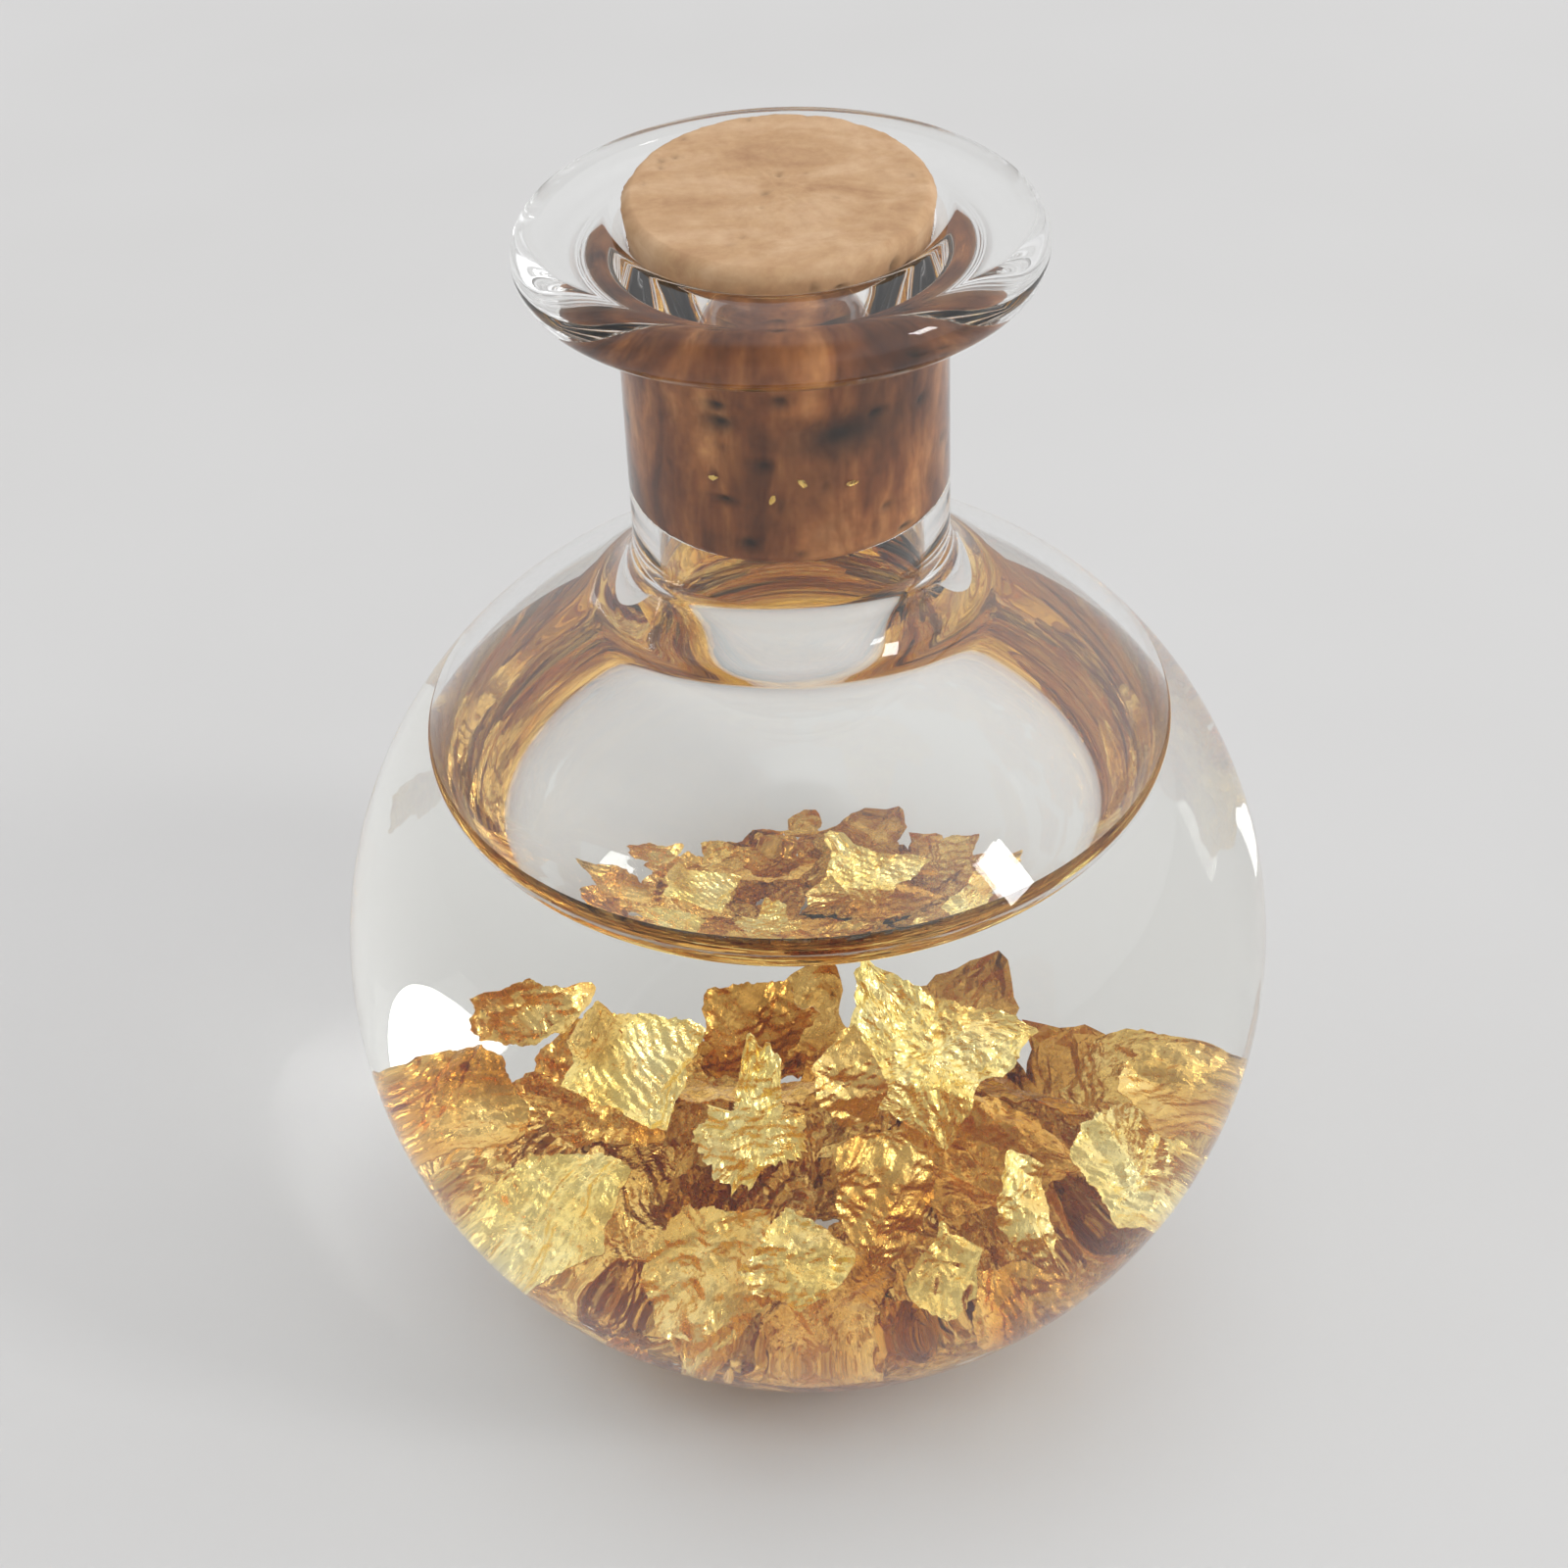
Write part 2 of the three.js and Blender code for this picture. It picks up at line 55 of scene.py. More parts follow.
BALL_RADIUS = 12.5 * MM
BALL_WALL = 0.5 * MM
INNER_RADIUS = BALL_RADIUS - BALL_WALL
BALL_CENTRE_Z = 11.7 * MM
BASE_EDGE_RADIUS = 0.6 * MM
FLOOR_THICKNESS = 0.8 * MM
FLOOR_EDGE_RADIUS = 2.0 * MM
NECK_RADIUS = 3.95 * MM
BORE_RADIUS = 3.32 * MM
OUTER_FILLET_RADIUS = 2.3 * MM
INNER_FILLET_RADIUS = 1.5 * MM
LIP_RADIUS = 6.3 * MM
LIP_ROUND_RADIUS = 0.74 * MM
LIP_CENTRE_Z = GLASS_HIGH.z - LIP_ROUND_RADIUS
FLARE_RADIUS = 1.2 * MM
MOUTH_ROUND_RADIUS = 0.55 * MM
MOUTH_DISH = 0.05 * MM
TURNED_SEGMENTS = 176
# steps of arcs in degrees
BALL_STEP = 1.5
FILLET_STEP = 5
ROUND_STEP = 6

CORK_TOP_RADIUS = 3.69 * MM
CORK_PLUG_RADIUS = 3.12 * MM
CORK_TOP_Z = 34.3 * MM
CORK_FLARE_Z = 29.6 * MM
CORK_EDGE = 0.22 * MM
CORK_SLANT = 0.5 * MM
CORK_CLEARANCE = 0.06 * MM
CORK_TAPER = (CORK_TOP_RADIUS - CORK_PLUG_RADIUS) / (CORK_TOP_Z - CORK_FLARE_Z)
WET_TOP_Z = 32.5 * MM  # liquid creeps up between the cork and the glass as far as this
CORK_SEGMENTS = 200
CORK_SIDE_ROWS = 110
CORK_END_ROWS = 42
CORK_SEED = 11
SIDE_PITS = 70
END_PITS = 26
# half-sizes of the small pits in mm, from and to
SIDE_PIT_SIZES = (0.08, 0.34)
END_PIT_SIZES = (0.04, 0.13)
END_PIT_SPREAD = 0.9
TOP_PIT_SHARE = 0.6
PIT_EDGE = 1.5
# each flaw's angle to the right of the front in degrees, its height and its half-sizes in mm
BIG_FLAWS = ((22, 29.3, 1.25, 0.62), (38, 29.6, 0.4, 0.25), (-28, 29.7, 0.42, 0.3))
PIT_WIDTH_OF_FULL_DEPTH = 0.3 * MM
# how many waves make up the grain, and their shortest and longest wavelengths
GRAIN_WAVES = (24, 0.25 * MM, 1.4 * MM)
FINE_GRAIN_WAVES = (40, 0.09 * MM, 0.3 * MM)
# depths in mm
GRAIN_DEPTH = 0.012
FINE_GRAIN_DEPTH = 0.006
SIDE_PIT_DEPTH = 0.2
END_PIT_DEPTH = 0.12

CONTACT_Z = LIQUID_HIGH.z
MENISCUS_CLIMB = 3.3 * MM
CAPILLARY_LENGTH = 2.45 * MM
MENISCUS_STEPS = 44
MENISCUS_FOOT = 0.16
MENISCUS_STEP_POWER = 1.9
LEVEL_SHARES = (0.8, 0.6, 0.4, 0.2)
LIQUID_EDGE_ANGLE = 35
LIQUID_INSET = 0.015 * MM
CONTACT_GAP = 0.004 * MM

LEAF_THICKNESS = 0.03 * MM
LEAF_RINGS, LEAF_SECTORS, LEAF_SEED = 34, 150, 300
CRUMB_RINGS, CRUMB_SECTORS, CRUMB_SEED = 8, 28, 500
CRUMB_SCALE = (0.75, 0.45)
# painted shade of the crumbs, partway from lit gold to amber brown
CRUMB_SHADE = 0.4
SPIRE_LEAF = 4
SPIRE_HALF_WIDTH = 0.5 * MM
SPIRE_FAN = 75
SPIRE_STRETCH = 1.45
SPIRE_BLUNTNESS = 0.12
SPIRE_RAGGED = (0.93, 1.07)
# which points of a CAD leaf count as its rim, and how the rim is read and smoothed
RIM_SHARE = 0.31
RIM_WINDOW = 24
RIM_SMOOTHING = 9
RIM_SMOOTH_WIDTH = 3.5
# angles between a leaf's corners in radians, and how far the corners reach against the rim
CORNER_GAPS = (0.55, 1.7)
LAST_CORNER_GAP = 0.2
CORNER_REACH = (0.72, 1.24)
TEAR_HALVINGS = 6
TEAR_ROUGHNESS = 0.07
TEAR_GROWTH = 1.15
FOLD_PITCH = (0.75, 1.3)
FOLD_STRENGTH = (0.4, 1.2)
FOLD_BEND = (-1.2, 1.2)
FULL_FOLD_SIZE = 1.6 * MM
CELL_SHIFT = (-0.35, 0.35)
# each family of folds: its mean wavelength in mm, its steepness and how many there are
FOLDS = ((2.6, 0.15, 1), (1.3, 0.10, 2), (0.66, 0.085, 4), (0.36, 0.085, 4), (0.2, 0.075, 4))
# how deep the painted shade of single leaves is, from 0, lit, to 1, deep amber brown in shade, where they
# differ from the others
SHADED_LEAVES = {
    3: 0.9, 5: 0.55, 7: 0.45, 9: 0.65, 10: 0.15, 12: 0.6, 13: 0.7, 15: 0.25, 17: 1.0,
    18: 0.3, 19: 1.0, 20: 1.0, 21: 0.7, 22: 0.8, 23: 0.8, 24: 0.5,
}
LAST_PLACED_LEAF = 24
# painted shade of the other leaves: slight up to the last placed leaf, then deep on odd and middling on even
# ones
BRIGHT_LEAF_SHADE = 0.08
ODD_LEAF_SHADE, EVEN_LEAF_SHADE = 0.95, 0.55

BED_LEAVES = 110
BED_RINGS, BED_SECTORS, BED_SEED = 12, 56, 77
BED_BACK_ANGLE = 41
BED_FRONT_ANGLE = 42
BED_FRONT_POWER = 0.7
BED_GAP = 0.02 * MM
# a bed leaf's mean radius and its depth inside the wall, in mm
BED_LEAF_SIZES = (0.8, 1.5)
BED_LEAF_DEPTHS = (0.16, 0.45)
BED_LEAF_OVAL = 0.35
# painted shade of the bed leaves, from and to: deep, for the shade under the heap
BED_SHADES = (0.6, 1.0)
BED_MIDDLE_ABOVE_FLOOR = 0.12 * MM
BED_ABOVE_FLOOR = 0.05 * MM

GLASS_IOR = 1.5
LIQUID_IOR = 1.36

WORLD_STRENGTH = 0.97
# parts of the room: azimuth, elevation, and the cosines from them where each starts and is full
OVERHEAD = (0, 90, -0.1, 0.9)
WINDOW_SIDE = (75, 45, 0.1, 0.95)
VIEWER_SIDE = (-10, 40, 0.72, 0.97)
FLOOR_HALF_SIZE = 1.2
BOUNCES = 48

WINDOW_AZIMUTH = 63
WINDOW_ELEVATION = 34
WINDOW_DISTANCE = 0.45
WINDOW_WIDTH = 0.065
WINDOW_HEIGHT = 0.095
WINDOW_RADIANCE = 17.0

CAMERA_ELEVATION = 40.2
CAMERA_DISTANCE = 6.5 * BALL_RADIUS
CAMERA_PITCH = 0.050
CAMERA_YAW = 0.006
CAMERA_ROLL = 2.26
CAMERA_LENS = 67.5


# ---- Meshes ----


def new_piece(name, points, faces, body, materials, replaces=(), smooth=True):
    """A mesh object that rides on a body of the frame and takes the place of its CAD nodes."""
    mesh = bpy.data.meshes.new(name)
    mesh.from_pydata([tuple(p) for p in points], [], [tuple(int(i) for i in f) for f in faces])
    mesh.validate()
    piece = bpy.data.objects.new(name, mesh)
    bpy.context.scene.collection.objects.link(piece)
    for material in materials:
        mesh.materials.append(material)
    if smooth:
        mesh.shade_smooth()
    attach(piece, body)
    if replaces:
        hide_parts(*replaces)
    return piece


def arc(centre_r, centre_z, radius, start, end, step=2.0):
    """Points on an arc of a profile, from one angle to another in degrees, both ends included."""
    count = max(2, int(abs(end - start) / step) + 1)
    angles = np.radians(np.linspace(start, end, count + 1))
    return [(centre_r + radius * math.cos(a), centre_z + radius * math.sin(a)) for a in angles]


def turned(profile, segments):
    """Points and faces of a solid turned about +Z; the profile starts and ends on the axis.
    Also each face's place along the profile."""
    angles = np.arange(segments) * 2 * math.pi / segments
    inner = profile[1:-1]
    points = [(0, 0, profile[0][1])]
    for r, z in inner:
        points.extend(zip(r * np.cos(angles), r * np.sin(angles), np.full(segments, z)))
    points.append((0, 0, profile[-1][1]))
    last = len(points) - 1
    faces, places = [], []
    for j in range(segments):
        k = (j + 1) % segments
        faces.append((0, 1 + k, 1 + j))
        places.append(0)
        top = 1 + (len(inner) - 1) * segments
        faces.append((last, top + j, top + k))
        places.append(len(inner))
        for i in range(len(inner) - 1):
            low, high = 1 + i * segments, 1 + (i + 1) * segments
            faces.append((low + j, low + k, high + k, high + j))
            places.append(i + 1)
    return points, faces, places


def polar_angle(r, z):
    return math.degrees(math.atan2(z, r))


# ---- Glass ----


def neck_fillet(neck_radius, ball_radius, fillet_radius):
    r = neck_radius + fillet_radius
    z = math.sqrt((ball_radius + fillet_radius) ** 2 - r**2)
    return r, z, polar_angle(r, z)


def cork_radius_at(z):
    return CORK_PLUG_RADIUS + CORK_TAPER * np.maximum(0, z - CORK_FLARE_Z)


def bore_radius_at(z):
    return max(BORE_RADIUS, cork_radius_at(z) + CORK_CLEARANCE)


def outside_profile():
    fillet_r, fillet_z, fillet_angle = neck_fillet(NECK_RADIUS, BALL_RADIUS, OUTER_FILLET_RADIUS)
    below = BALL_CENTRE_Z - BASE_EDGE_RADIUS
    edge_r = math.sqrt((BALL_RADIUS - BASE_EDGE_RADIUS) ** 2 - below**2)
    meets = polar_angle(edge_r, -below)
    fillet_up = BALL_CENTRE_Z + fillet_z
    sweep_top_z = LIP_CENTRE_Z - LIP_ROUND_RADIUS
    mouth_r = bore_radius_at(LIP_CENTRE_Z) + MOUTH_ROUND_RADIUS
    mouth_z = LIP_CENTRE_Z + LIP_ROUND_RADIUS - MOUTH_DISH - MOUTH_ROUND_RADIUS
    return [
        (0, 0),
        *arc(edge_r, BASE_EDGE_RADIUS, BASE_EDGE_RADIUS, -90, meets, ROUND_STEP),
        *arc(0, BALL_CENTRE_Z, BALL_RADIUS, meets, fillet_angle, BALL_STEP)[1:],
        *arc(fillet_r, fillet_up, OUTER_FILLET_RADIUS, 180 + fillet_angle, 180, FILLET_STEP)[1:],
        *arc(NECK_RADIUS + FLARE_RADIUS, sweep_top_z - FLARE_RADIUS, FLARE_RADIUS, 180, 90, FILLET_STEP),
        *arc(LIP_RADIUS - LIP_ROUND_RADIUS, LIP_CENTRE_Z, LIP_ROUND_RADIUS, -90, 90, ROUND_STEP),
        *arc(mouth_r, mouth_z, MOUTH_ROUND_RADIUS, 90, 180, ROUND_STEP),
    ]


def inside_profile():
    """The inner wall in two parts: dry down to the contact line, then wet to the floor's middle."""
    fillet_r, fillet_z, fillet_angle = neck_fillet(BORE_RADIUS, INNER_RADIUS, INNER_FILLET_RADIUS)
    straight_top = CORK_FLARE_Z + (BORE_RADIUS - CORK_CLEARANCE - CORK_PLUG_RADIUS) / CORK_TAPER
    fillet_up = BALL_CENTRE_Z + fillet_z
    up = CONTACT_Z - BALL_CENTRE_Z
    contact = polar_angle(math.sqrt(INNER_RADIUS**2 - up**2), up)
    floor_up = FLOOR_THICKNESS + FLOOR_EDGE_RADIUS - BALL_CENTRE_Z
    edge_r = math.sqrt((INNER_RADIUS - FLOOR_EDGE_RADIUS) ** 2 - floor_up**2)
    meets = polar_angle(edge_r, floor_up)
    dry = [
        (bore_radius_at(WET_TOP_Z), WET_TOP_Z),
        (BORE_RADIUS, straight_top),
        (BORE_RADIUS, CORK_LOW.z + CORK_EDGE),
        *arc(fillet_r, fillet_up, INNER_FILLET_RADIUS, 180, 180 + fillet_angle, FILLET_STEP),
        *arc(0, BALL_CENTRE_Z, INNER_RADIUS, fillet_angle, contact, BALL_STEP)[1:],
    ]
    wet = [
        *arc(0, BALL_CENTRE_Z, INNER_RADIUS, contact, meets, BALL_STEP)[1:],
        *arc(edge_r, BALL_CENTRE_Z + floor_up, FLOOR_EDGE_RADIUS, meets, -90, ROUND_STEP)[1:],
        (0, FLOOR_THICKNESS),
    ]
    return dry, wet


def glass_bottle(glass, wet_glass):
    """One blown piece; faces that touch liquid, in the ball and beside the cork, have their own paint."""
    outside = outside_profile()
    dry, wet = inside_profile()
    profile = [*outside, *dry, *wet]
    points, faces, places = turned(profile, TURNED_SEGMENTS)
    paints = [glass, wet_glass]
    piece = new_piece("glass_ball_bottle", points, faces, "bottle", paints, ["glass_bottle"])
    first_wet = len(profile) - len(wet) - 1
    beside_cork = (len(outside), len(outside) + 1)
    paint_of_face = [int(p >= first_wet or p in beside_cork) for p in places]
    piece.data.polygons.foreach_set("material_index", paint_of_face)


# ---- Liquid ----


def meniscus(wall_r):
    """The surface from the wall to the axis: the curve that a liquid takes up beside a wall."""
    far, rise = 2 * CAPILLARY_LENGTH, MENISCUS_CLIMB
    level = CONTACT_Z - rise
    start = math.acosh(far / rise) - math.sqrt(far**2 - rise**2) / CAPILLARY_LENGTH
    points = []
    for share in np.linspace(1, MENISCUS_FOOT, MENISCUS_STEPS) ** MENISCUS_STEP_POWER:
        z = rise * share
        away = math.acosh(far / z) - math.sqrt(far**2 - z**2) / CAPILLARY_LENGTH - start
        points.append((wall_r - away * CAPILLARY_LENGTH, level + z))
    flat_r = points[-1][0]
    return [*points, *((flat_r * s, level) for s in LEVEL_SHARES), (0, level)]


def liquid(surface, side):
    """The liquid down to the glass floor, just inside the wall."""
    _, wet = inside_profile()
    contact_r = math.sqrt(INNER_RADIUS**2 - (CONTACT_Z - BALL_CENTRE_Z) ** 2)
    centre = np.array((0, BALL_CENTRE_Z))
    shrink = 1 - LIQUID_INSET / INNER_RADIUS
    sides = [tuple(centre + (np.array(p) - centre) * shrink) for p in reversed(wet)]
    top = meniscus(contact_r - CONTACT_GAP)
    profile = [(0, sides[0][1]), *sides[1:], *top]
    points, faces, places = turned(profile, TURNED_SEGMENTS)
    paints = [surface, side]
    piece = new_piece("clear_liquid", points, faces, "contents", paints, ["liquid_fill"])
    first_top = len(sides)
    piece.data.polygons.foreach_set("material_index", [int(p < first_top) for p in places])
    piece.data.set_sharp_from_angle(angle=math.radians(LIQUID_EDGE_ANGLE))


# ---- Cork ----


def waves(random, count, low, high):
    """Random flat waves for folding and roughening: direction, wavelength, phase."""
    ways = random.normal(size=(count, 3))
    ways /= np.linalg.norm(ways, axis=1)[:, None]
    lengths = np.exp(random.uniform(math.log(low), math.log(high), count))
    return ways, lengths, random.uniform(0, 2 * math.pi, count)


def rough(points, waving):
    """A smooth random field of about -1 to 1 at points."""
    ways, lengths, phases = waving
    turns = points @ (ways / lengths[:, None]).T * 2 * math.pi + phases
    return np.sin(turns).sum(1) / math.sqrt(len(lengths))


def cork_pits(random):
    """Centres and half-sizes of the dark pits in the cork's skin."""
    rows = []
    for _ in range(SIDE_PITS):
        around, z = random.uniform(0, 2 * math.pi), random.uniform(CORK_LOW.z, CORK_HIGH.z)
        r = cork_radius_at(z)
        sizes = random.uniform(*SIDE_PIT_SIZES, 2) * MM
        rows.append((r * math.cos(around), r * math.sin(around), z, *sizes))
    for _ in range(END_PITS):
        r = CORK_TOP_RADIUS * math.sqrt(random.uniform(0, END_PIT_SPREAD))
        around = random.uniform(0, 2 * math.pi)
        z = CORK_HIGH.z if random.uniform() < TOP_PIT_SHARE else CORK_LOW.z
        sizes = random.uniform(*END_PIT_SIZES, 2) * MM
        rows.append((r * math.cos(around), r * math.sin(around), z, *sizes))
    for around, z, wide, tall in BIG_FLAWS:
        r, a = cork_radius_at(z * MM), math.radians(around)
        rows.append((r * math.sin(a), -r * math.cos(a), z * MM, wide * MM, tall * MM))
    return np.array(rows)


def cork(material):
    """Rough cork, straight in the bore and wider towards its slanting top."""
    random = np.random.default_rng(CORK_SEED)
    top_z, bottom_z = CORK_TOP_Z, CORK_LOW.z
    heights = np.linspace(bottom_z + CORK_EDGE, top_z - CORK_EDGE, CORK_SIDE_ROWS)
    side = [(cork_radius_at(z), z) for z in heights]
    flat = np.linspace(0, 1, CORK_END_ROWS)[1:]
    profile = [
        (0, bottom_z),
        *((CORK_PLUG_RADIUS - CORK_EDGE) * s * np.array((1, 0)) + (0, bottom_z) for s in flat),
        *side,
        *((CORK_TOP_RADIUS - CORK_EDGE) * s * np.array((1, 0)) + (0, top_z) for s in flat[::-1]),
        (0, top_z),
    ]
    points, faces, _ = turned([tuple(p) for p in profile], CORK_SEGMENTS)
    points = np.array(points)
    pits = cork_pits(random)
    depth = np.zeros(len(points))
    for x, y, z, wide, tall in pits:
        away = points - (x, y, z)
        near = (away[:, :2] ** 2).sum(1) / wide**2 + (away[:, 2] / tall) ** 2
        depth = np.maximum(depth, np.exp(-near * PIT_EDGE) * min(1.0, wide / PIT_WIDTH_OF_FULL_DEPTH))
    grain = rough(points, waves(random, *GRAIN_WAVES))
    fine = rough(points, waves(random, *FINE_GRAIN_WAVES))
    radius = np.linalg.norm(points[:, :2], axis=1)
    on_side = (points[:, 2] > bottom_z + CORK_EDGE / 2) & (points[:, 2] < top_z - CORK_EDGE / 2)
    skin = GRAIN_DEPTH * (1 + grain) + FINE_GRAIN_DEPTH * (1 + fine)
    inward = np.where(on_side, skin + SIDE_PIT_DEPTH * depth, 0) * MM
    points[:, :2] *= (1 - inward / np.maximum(radius, 1e-9))[:, None]
    ends = np.where(on_side, 0, skin + END_PIT_DEPTH * depth) * MM
    points[:, 2] += np.where(points[:, 2] > (top_z + bottom_z) / 2, -ends, ends)
    shear = CORK_SLANT * (1 - points[:, 1] / CORK_TOP_RADIUS) / 2
    points[:, 2] -= shear * np.clip((points[:, 2] - CORK_FLARE_Z) / (top_z - CORK_FLARE_Z), 0, 1)
    piece = new_piece("tapered_cork", points, faces, "stopper", [material], ["cork_stopper"])
    layer = piece.data.attributes.new("pit", "FLOAT", "POINT")
    layer.data.foreach_set("value", depth.astype(np.float32))


# ---- Gold leaf ----


def leaf_frame(node):
    """A CAD leaf's middle, its three directions (long, wide, face) and its points in them."""
    points = np.array([v.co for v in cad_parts[node].data.vertices], float)
    middle = points.mean(0)
    _, _, ways = np.linalg.svd(points - middle, full_matrices=False)
    ways[2] = np.cross(ways[0], ways[1])
    return middle, ways, (points - middle) @ ways.T


def rim_radius(local, angles):
    """How far the CAD leaf reaches in each direction of its own plane."""
    around = np.arctan2(local[:, 1], local[:, 0])
    far = np.hypot(local[:, 0], local[:, 1])
    keep = far > RIM_SHARE * far.max()
    around, far = around[keep], far[keep]
    reach = []
    for a in angles:
        gap = np.abs((around - a + math.pi) % (2 * math.pi) - math.pi)
        close = gap < math.radians(RIM_WINDOW)
        reach.append(np.max(far[close] * np.cos(gap[close])) if close.any() else far.mean())
    reach = np.array(reach)
    near = RIM_SMOOTHING
    spread = np.exp(-0.5 * (np.arange(-near, near + 1) / RIM_SMOOTH_WIDTH) ** 2)
    wrapped = np.concatenate([reach[-near:], reach, reach[:near]])
    return np.convolve(wrapped, spread / spread.sum(), "valid")


def torn_outline(reach, angles, random):
    """Turns a smooth outline into straight tears between sharp corners, frayed in ever finer steps."""
    corners = []
    at = random.uniform(0, 1)
    while at < 2 * math.pi + 1:
        corners.append(at)
        at += random.uniform(*CORNER_GAPS)
    corners = [c for c in corners if c < corners[0] + 2 * math.pi - LAST_CORNER_GAP]
    turns = np.array(corners) - math.pi
    far = np.interp(turns, angles, reach, period=2 * math.pi) * random.uniform(*CORNER_REACH, len(turns))
    x, y = far * np.cos(turns), far * np.sin(turns)
    x, y = np.append(x, x[0]), np.append(y, y[0])
    edge = np.stack([x, y], 1)
    rough_size = TEAR_ROUGHNESS
    for _ in range(TEAR_HALVINGS):
        middle = (edge[:-1] + edge[1:]) / 2
        along = edge[1:] - edge[:-1]
        push = random.normal(0, rough_size, len(middle))[:, None] * np.stack([along[:, 1], -along[:, 0]], 1)
        longer = np.empty((len(edge) + len(middle), 2))
        longer[0::2], longer[1::2] = edge, middle + push
        edge = longer
        rough_size *= TEAR_GROWTH
    full = 2 * math.pi
    around = np.unwrap(np.arctan2(edge[:, 1], edge[:, 0]))[:-1] % full
    order = np.argsort(around)
    return np.interp(angles % full, around[order], np.hypot(*edge[:-1].T)[order], period=full)


def fold_height(x, y, random, size):
    """Crumpled foil: sharp folds of many lengths, in all directions, each a zigzag across the leaf."""
    height = np.zeros_like(x)
    bend_x, bend_y = x.copy(), y.copy()
    for length, share, count in FOLDS:
        for _ in range(count):
            way = random.uniform(0, math.pi)
            pitch = length * MM * random.uniform(*FOLD_PITCH)
            along = (bend_x * math.cos(way) + bend_y * math.sin(way)) / pitch + random.uniform()
            zigzag = np.abs((along % 1) - 0.5) * 2 - 0.5
            height += zigzag * pitch * share * random.uniform(*FOLD_STRENGTH)
        bend_x = bend_x + height * random.uniform(*FOLD_BEND)
        bend_y = bend_y + height * random.uniform(*FOLD_BEND)
    return height * min(1.0, size / FULL_FOLD_SIZE)


def narrow_to_spire(reach, angles, ways, half_width):
    """Keeps only a narrow blade of the half of a leaf that points up."""
    up = math.atan2(ways[1][2], ways[0][2])
    off = np.abs((angles - up + math.pi) % (2 * math.pi) - math.pi)
    blade = half_width / np.maximum(np.sin(off) + SPIRE_BLUNTNESS, 1e-3)
    spire = np.minimum(reach * SPIRE_STRETCH, np.maximum(blade, half_width))
    return np.where(off < math.radians(SPIRE_FAN), spire, reach)


def foil_faces(rings, sectors):
    """Faces of a thin closed leaf: rings of points round a middle point, a lower then an upper side."""
    count = 1 + rings * sectors
    faces = []

    def at(ring, sector):
        return 1 + ring * sectors + sector % sectors

    for s in range(sectors):
        faces.append((0, at(0, s + 1), at(0, s)))
        faces.append((count, count + at(0, s), count + at(0, s + 1)))
        for ring in range(rings - 1):
            quad = (at(ring, s), at(ring, s + 1), at(ring + 1, s + 1), at(ring + 1, s))
            faces.append(quad)
            faces.append(tuple(count + i for i in reversed(quad)))
        low, next_low = at(rings - 1, s), at(rings - 1, s + 1)
        faces.append((low, next_low, count + next_low, count + low))
    return faces


def foil_points(reach, angles, rings, bend, random):
    """Points of a crumpled leaf in its own plane, its lower side and then its upper side."""
    shares = np.linspace(0, 1, rings + 1)[1:]
    x = np.concatenate([[0], (reach[None, :] * shares[:, None] * np.cos(angles)).ravel()])
    y = np.concatenate([[0], (reach[None, :] * shares[:, None] * np.sin(angles)).ravel()])
    cell = reach.mean() / rings
    x = x + random.uniform(*CELL_SHIFT, len(x)) * cell
    y = y + random.uniform(*CELL_SHIFT, len(y)) * cell
    height = bend(x, y) + fold_height(x, y, random, reach.mean() * 2)
    sheet = np.stack([x, y, height], 1)
    return np.concatenate([sheet - (0, 0, LEAF_THICKNESS / 2), sheet + (0, 0, LEAF_THICKNESS / 2)])


# keeps a leaf's painted shade on its points: 0 lit and pale, 1 deep amber brown as if in shade
def add_leaf_shade(piece, leaf_shades):
    layer = piece.data.attributes.new("leaf_shade", "FLOAT", "POINT")
    layer.data.foreach_set("value", np.asarray(leaf_shades, np.float32))


def gold_leaf(name, node, body, seed, material, leaf_shade, rings, sectors, spire=0.0, scale=(1.0, 1.0)):
    """A crumpled leaf with torn edges, in the place, tilt, bend and size of its CAD leaf."""
    random = np.random.default_rng(seed)
    middle, ways, local = leaf_frame(node)
    angles = np.arange(sectors) / sectors * 2 * math.pi - math.pi
    reach = torn_outline(rim_radius(local, angles), angles, random)
    if spire:
        reach = narrow_to_spire(reach, angles, ways, spire) * random.uniform(*SPIRE_RAGGED, sectors)

    def powers(x, y):
        return np.stack([np.ones(len(x)), x, y, x * x, x * y, y * y], 1)

    fit = np.linalg.lstsq(powers(local[:, 0], local[:, 1]), local[:, 2], rcond=None)[0]
    points = foil_points(reach, angles, rings, lambda x, y: powers(x, y) @ fit, random)
    points[:, :2] *= scale
    faces = foil_faces(rings, sectors)
    placed = middle + points @ ways
    piece = new_piece(name, placed, faces, body, [material], [node], smooth=False)
    # the whole leaf gets one painted shade
    add_leaf_shade(piece, np.full(len(points), leaf_shade))


